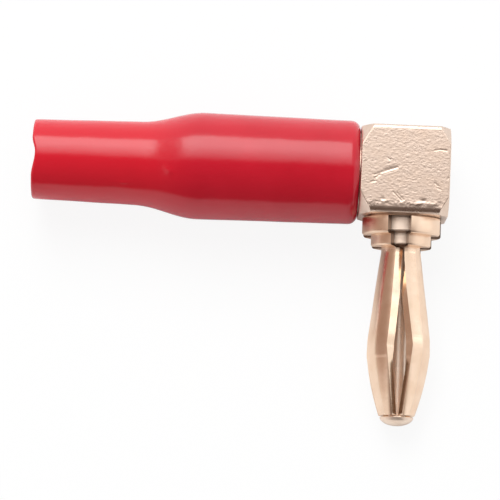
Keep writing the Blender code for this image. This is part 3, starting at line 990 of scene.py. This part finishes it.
def turned_gold(name, dark, light, roughness, ring_depth, satin=0.0, painted_shade=None, metallic=1.0):
    """Gold plate on a turned part. Satin is the roughness added down to the end of the collars.
    The shade colour, if given, is painted shade that darkens the plate down there.
    """
    made = Nodes(name)
    place = made.position()
    color = made.clouded(made.noise(place, scale=700, detail=3.0), dark, light)
    # Painted shade: down to the end of the collars the plate takes the shade colour, blending back by
    # the cone's start
    if painted_shade:
        color = made.mix(made.rise(place, COLLARS_END, CONE_START), painted_shade, color)
    made.set("Base Color", color)
    made.set("Metallic", metallic)
    flattened = made.position(scale=(0.05, 0.05, 1.0))
    rings = made.noise(flattened, scale=9000, detail=3.0, roughness=0.7)
    smoothest = roughness * RING_SMOOTHEST
    roughest = roughness * RING_ROUGHEST
    rough = made.between(rings, NOISE_LOW, NOISE_HIGH, smoothest, roughest)
    if satin:
        polished = made.rise(place, COLLARS_END, CONE_START)
        dull = made.math("MULTIPLY", made.math("SUBTRACT", 1.0, polished), satin)
        rough = made.math("ADD", rough, dull)
    made.set("Roughness", rough)
    marks = made.bump(rings, strength=0.5, distance=ring_depth)
    grain = made.noise(place, scale=3800, detail=4.0)
    made.set("Normal", made.bump(grain, strength=0.2, distance=0.000012, normal=marks))
    return made.material


# Floor. It is white where it is seen, apart from a share of its own shading, which holds the shadow
FLOOR_SIZE = 6.0
FLOOR_COLOR = (0.85, 0.85, 0.85, 1)
FLOOR_ROUGHNESS = 0.9
SHADOW_SHARE = 0.10
GLOSSY_SHADOW_SHARE = 0.85

# Surroundings: what the gloss shows of them, and the plain light that they give
WHITE = (1, 1, 1, 1)
BACKDROP_LEVEL = 1.02
FRONT_FILL = 0.50
BACK_FILL = 0.56
FRONT_LEVEL = 0.12
FRONT_EDGES = (-0.08, 0.06)
FRONT_HALF_WIDTH = 0.62
FRONT_BLUR = 0.13
LEFT_ZONE = Vector((-0.84, 0.15, 0.42))
LEFT_LEVEL = 0.40
LEFT_EDGES = (math.radians(46), math.radians(8))
DARK_TINT = (1.0, 0.72, 0.60, 1)

# Lamps. The two large ones hang overhead and a little behind, at this many degrees
OVERHEAD = 117
LAMP_DISTANCE = 0.6
LAMP_AIM = Vector((0.005, 0, 0.005))


def make_floor():
    """A pale floor that keeps the plug's shadow and is white elsewhere."""
    bpy.ops.mesh.primitive_plane_add(size=FLOOR_SIZE, location=(0, 0, 0))
    floor = bpy.context.object
    floor.name = "floor"
    made = Nodes("pale_floor")
    made.set("Base Color", FLOOR_COLOR)
    made.set("Roughness", FLOOR_ROUGHNESS)
    white = made.add("ShaderNodeEmission")
    white.inputs["Strength"].default_value = 1.0
    path = made.add("ShaderNodeLightPath")
    seen = made.math("MULTIPLY", path.outputs["Is Camera Ray"], 1 - SHADOW_SHARE)
    mirrored = made.math("MULTIPLY", made.in_gloss(path), 1 - GLOSSY_SHADOW_SHARE)
    share = made.math("MAXIMUM", seen, mirrored)
    mix = made.add("ShaderNodeMixShader")
    made.link(share, mix.inputs["Fac"])
    made.link(made.shader.outputs["BSDF"], mix.inputs[1])
    made.link(white.outputs["Emission"], mix.inputs[2])
    output = made.tree.nodes["Material Output"]
    made.link(mix.outputs["Shader"], output.inputs["Surface"])
    floor.data.materials.append(made.material)


def direction(elevation, azimuth=0.0):
    """Unit vector: elevation is measured from the -Y side, so more than 90 degrees is behind."""
    e = math.radians(elevation)
    a = math.radians(azimuth)
    return Vector((math.sin(a) * math.cos(e), -math.cos(a) * math.cos(e), math.sin(e)))


def softbox(name, toward, width, height, radiance, fade=None, aside=0.0):
    """A rectangular lamp that faces the plug. Fade says where, up its height, it starts and is full."""
    data = bpy.data.lights.new(name, "AREA")
    data.shape = "RECTANGLE"
    data.size = width
    data.size_y = height
    data.energy = radiance * math.pi * width * height
    if fade:
        data.use_nodes = True
        made = Tree(data.node_tree)
        place = made.add("ShaderNodeNewGeometry")
        split = made.add("ShaderNodeSeparateXYZ")
        made.link(place.outputs["Parametric"], split.inputs["Vector"])
        level = made.between(split.outputs["Y"], 1 - fade[0], 1 - fade[1], 0.0, 1.0)
        made.link(level, made.tree.nodes["Emission"].inputs["Strength"])
    lamp = bpy.data.objects.new(name, data)
    bpy.context.collection.objects.link(lamp)
    lamp.location = LAMP_AIM + toward * LAMP_DISTANCE + Vector((aside, 0, 0))
    lamp.rotation_mode = "QUATERNION"
    lamp.rotation_quaternion = toward.to_track_quat("Z", "Y")


def make_world():
    """White all round for what the gloss shows, but dim in front and far left."""
    world = bpy.data.worlds.new("studio")
    bpy.context.scene.world = world
    world.use_nodes = True
    made = Tree(world.node_tree)
    place = made.add("ShaderNodeTexCoord").outputs["Generated"]
    split = made.add("ShaderNodeSeparateXYZ")
    made.link(place, split.inputs["Vector"])
    front = made.smooth(made.math("MULTIPLY", split.outputs["Y"], -1.0), *FRONT_EDGES)
    aside = made.math("ABSOLUTE", split.outputs["X"], 0.0)
    outside = made.smooth(aside, FRONT_HALF_WIDTH - FRONT_BLUR, FRONT_HALF_WIDTH + FRONT_BLUR)
    middle = made.math("MULTIPLY", front, made.math("SUBTRACT", 1.0, outside))
    dim_front = made.math("MULTIPLY", middle, BACKDROP_LEVEL - FRONT_LEVEL)
    facing = made.add("ShaderNodeVectorMath", operation="DOT_PRODUCT")
    made.link(place, facing.inputs[0])
    facing.inputs[1].default_value = LEFT_ZONE.normalized()
    left = made.smooth(facing.outputs["Value"], math.cos(LEFT_EDGES[0]), math.cos(LEFT_EDGES[1]))
    dim_left = made.math("MULTIPLY", left, BACKDROP_LEVEL - LEFT_LEVEL)
    dim = made.math("MAXIMUM", dim_front, dim_left)
    shown = made.math("SUBTRACT", BACKDROP_LEVEL, dim)
    path = made.add("ShaderNodeLightPath")
    glossy = made.in_gloss(path)
    soft = made.between(split.outputs["Y"], -1.0, 1.0, to_low=FRONT_FILL, to_high=BACK_FILL)
    fill = made.math("MULTIPLY", made.math("SUBTRACT", 1.0, glossy), soft)
    level = made.math("ADD", made.math("MULTIPLY", glossy, shown), fill)
    level = made.math("MAXIMUM", level, path.outputs["Is Camera Ray"])
    background = made.tree.nodes["Background"]
    made.link(level, background.inputs["Strength"])
    dark = made.math("MULTIPLY", glossy, made.math("MAXIMUM", left, middle))
    made.link(made.mix(dark, WHITE, DARK_TINT), background.inputs["Color"])


def make_lamps():
    softbox(
        "top_box",
        direction(OVERHEAD),
        width=0.42,
        height=0.62,
        radiance=3.4,
        fade=(0.06, 0.60),
        aside=-0.083,
    )
    softbox(
        "hot_box",
        direction(OVERHEAD),
        width=0.286,
        height=0.62,
        radiance=5.0,
        fade=(0.10, 0.50),
        aside=-0.150,
    )
    softbox("side_box", direction(20, azimuth=102), width=0.06, height=0.45, radiance=0.8)


def make_camera():
    toward = direction(math.degrees(CAMERA_ELEVATION), math.degrees(CAMERA_AZIMUTH))
    right = Vector((math.cos(CAMERA_AZIMUTH), math.sin(CAMERA_AZIMUTH), 0))
    up = toward.cross(right)
    turned_right = right * math.cos(CAMERA_ROLL) + up * math.sin(CAMERA_ROLL)
    turned_up = up * math.cos(CAMERA_ROLL) - right * math.sin(CAMERA_ROLL)
    data = bpy.data.cameras.new("camera")
    data.sensor_width = SENSOR_WIDTH
    data.lens = SENSOR_WIDTH * CAMERA_DISTANCE / FIELD_WIDTH
    data.clip_start = CLIP_START
    camera = bpy.data.objects.new("camera", data)
    bpy.context.collection.objects.link(camera)
    turn = Matrix((turned_right, turned_up, toward)).transposed().to_4x4()
    camera.matrix_world = Matrix.Translation(CAMERA_AIM + toward * CAMERA_DISTANCE) @ turn
    bpy.context.scene.camera = camera


bpy.context.scene.view_settings.view_transform = "Standard"

turning_frame, boot_frame, contact_frame = local_frames()
make_camera()
make_floor()
make_lamps()
make_world()
make_boot(boot_frame, red_pvc())
make_block(turning_frame, tumbled_gold())
bright_plate = turned_gold(
    "bright_gold",
    BRIGHT_DARK,
    BRIGHT_LIGHT,
    roughness=0.20,
    ring_depth=0.000003,
    satin=0.11,
)
# The slot walls and insides of the contact get painted shade in the collars
slot_plate = turned_gold(
    "slot_gold",
    SLOT_DARK,
    SLOT_LIGHT,
    roughness=0.16,
    ring_depth=0.000003,
    painted_shade=SLOT_PAINTED_SHADE,
)
make_contact(contact_frame, bright_plate, slot_plate)
core_plate = turned_gold(
    "core_gold",
    CORE_DARK,
    CORE_LIGHT,
    roughness=0.34,
    ring_depth=0.000030,
    metallic=0.75,
)
make_core(contact_frame, core_plate)
